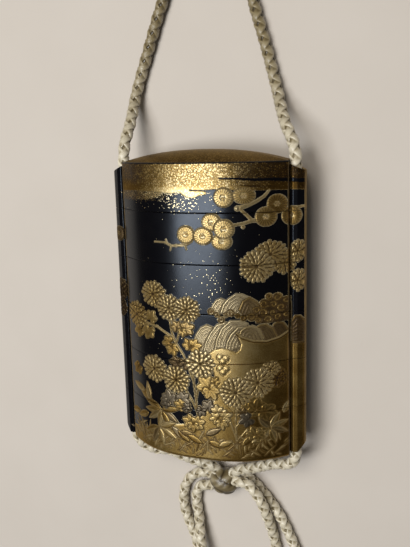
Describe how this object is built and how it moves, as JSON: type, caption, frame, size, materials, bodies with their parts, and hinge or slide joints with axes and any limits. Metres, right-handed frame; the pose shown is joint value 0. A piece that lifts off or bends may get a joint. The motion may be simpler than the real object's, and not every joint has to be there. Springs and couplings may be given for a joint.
{
  "type": "inro case",
  "caption": "Lacquered inro: flattened oval case of stacked tiers under a lid, with raised gold flowers, pine and waves, cord runners, a silk cord and a bow.",
  "frame": {"origin": "on the surface the case lies on, under the middle of the case without its cord", "axes": "+X to the right across the case seen from the front, +Y up the case towards its lid, +Z out of the front face; the case lies on its back"},
  "size_m": [0.0588, 0.2189, 0.0264],
  "materials": {
    "lacquer": "polished black lacquer with sprinkled gold and raised gold ornament",
    "silk_cord": "plaited beige silk"
  },
  "bodies": {
    "root": {"lid": "lacquer", "case_1": "lacquer", "case_2": "lacquer", "case_3": "lacquer", "case_4": "lacquer", "case_5": "lacquer", "cord": "silk_cord", "bow_loop_left": "silk_cord", "bow_loop_right": "silk_cord", "knot": "silk_cord"}
  },
  "joints": []
}
